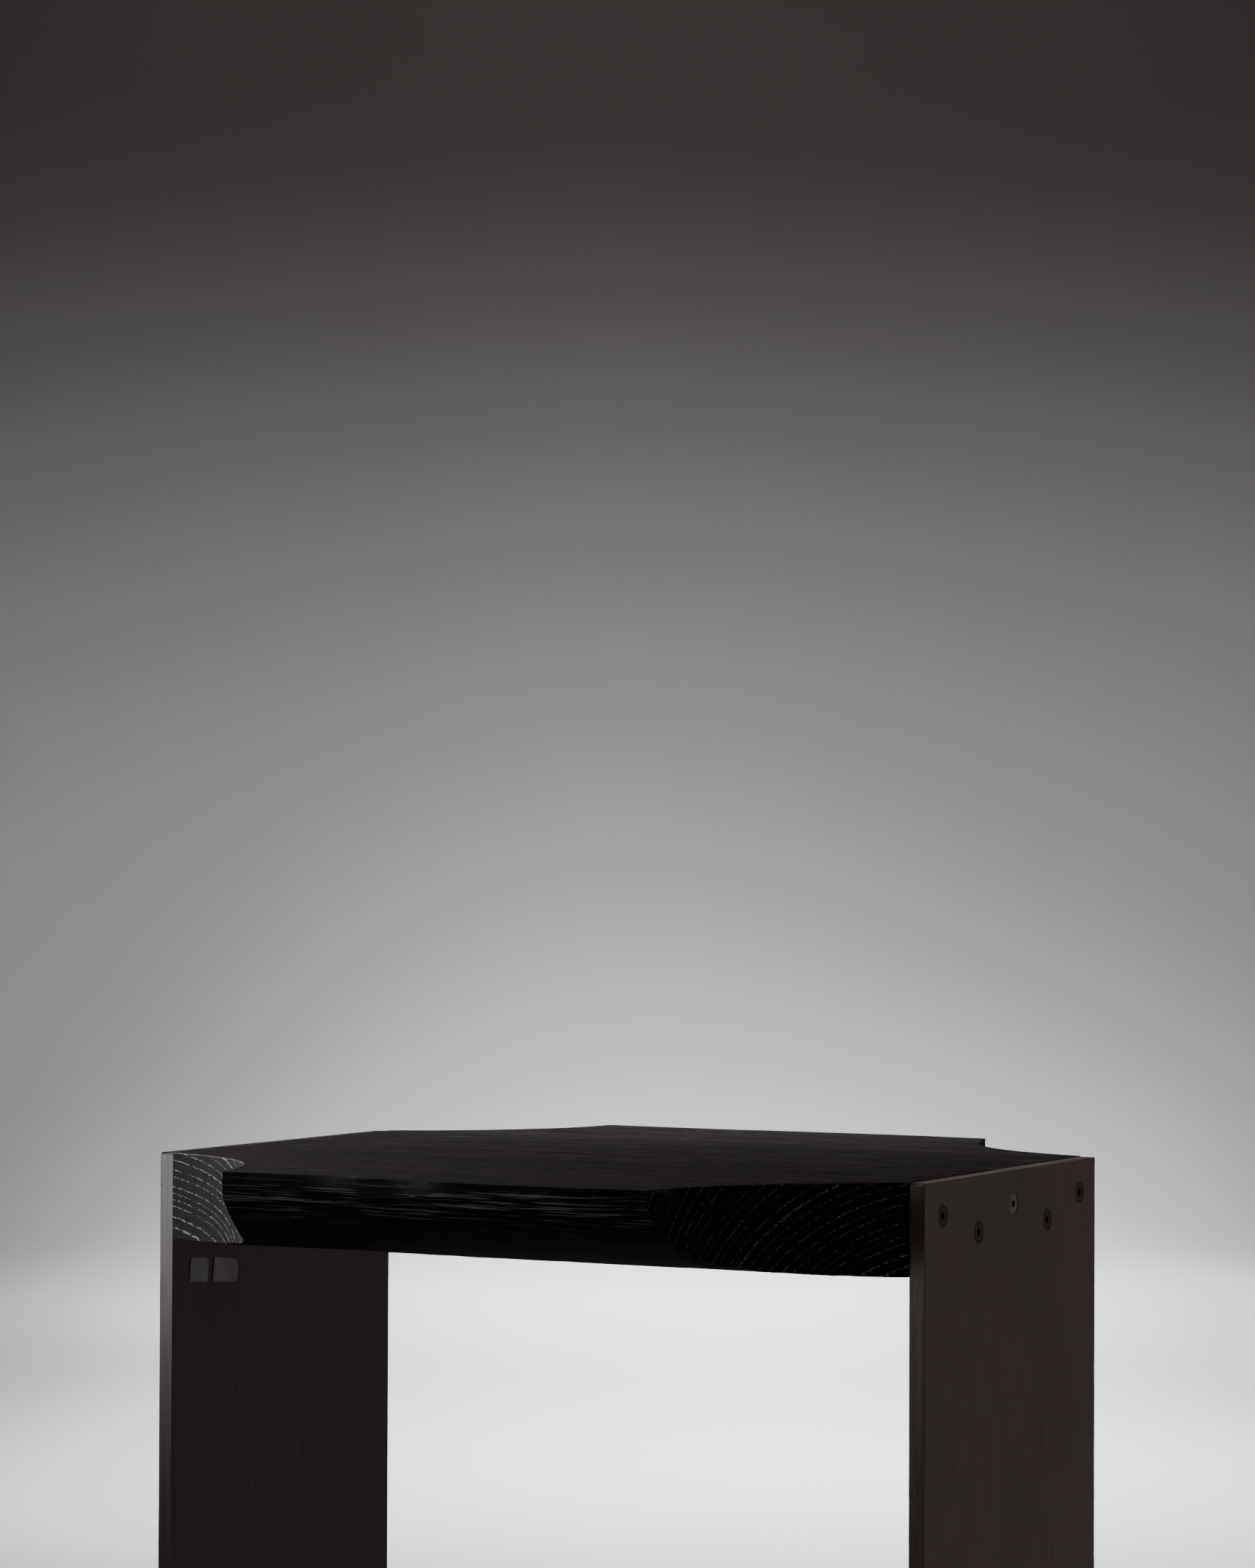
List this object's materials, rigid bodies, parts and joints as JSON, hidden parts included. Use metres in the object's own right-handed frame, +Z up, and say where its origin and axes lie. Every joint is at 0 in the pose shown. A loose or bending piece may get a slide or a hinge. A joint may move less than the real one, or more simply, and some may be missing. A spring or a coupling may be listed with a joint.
{
  "type": "display plinth",
  "caption": "Low display plinth: thick blackened-oak top with waney long edges and scooped corners, screwed between two brushed steel plate legs.",
  "frame": {"origin": "on the floor, below the middle of the top", "axes": "+Z up, +X along the wood's grain from the left leg plate to the right one, -Y towards the front"},
  "size_m": [0.644, 0.66, 0.45],
  "materials": {
    "blackened_oak": "open-grained oak stained black-brown, satin",
    "brushed_steel_plate": "satin, brushed along the height, worn bright at the corners",
    "dark_screw_steel": "dark, slightly glossy",
    "plain_screw_steel": "plain, satin",
    "zinc_plated_steel": "zinc plated",
    "beech": "raw",
    "label_paper": "blank, slightly aged"
  },
  "bodies": {
    "root": {"front_plank": "blackened_oak", "rear_plank": "blackened_oak", "left_leg_plate": "brushed_steel_plate", "right_leg_plate": "brushed_steel_plate", "left_screw_1": "dark_screw_steel", "left_screw_2": "dark_screw_steel", "left_screw_3": "dark_screw_steel", "left_screw_4": "dark_screw_steel", "left_screw_5": "dark_screw_steel", "right_screw_1": "dark_screw_steel", "right_screw_2": "dark_screw_steel", "right_screw_3": "plain_screw_steel", "right_screw_4": "dark_screw_steel", "right_screw_5": "dark_screw_steel", "left_insert_1": "zinc_plated_steel", "left_insert_2": "zinc_plated_steel", "left_insert_3": "zinc_plated_steel", "left_insert_4": "zinc_plated_steel", "left_insert_5": "zinc_plated_steel", "right_insert_1": "zinc_plated_steel", "right_insert_2": "zinc_plated_steel", "right_insert_3": "zinc_plated_steel", "right_insert_4": "zinc_plated_steel", "right_insert_5": "zinc_plated_steel", "joint_tenon_1": "beech", "joint_tenon_2": "beech", "joint_tenon_3": "beech", "joint_tenon_4": "beech", "paper_label_1": "label_paper", "paper_label_2": "label_paper"}
  },
  "joints": []
}
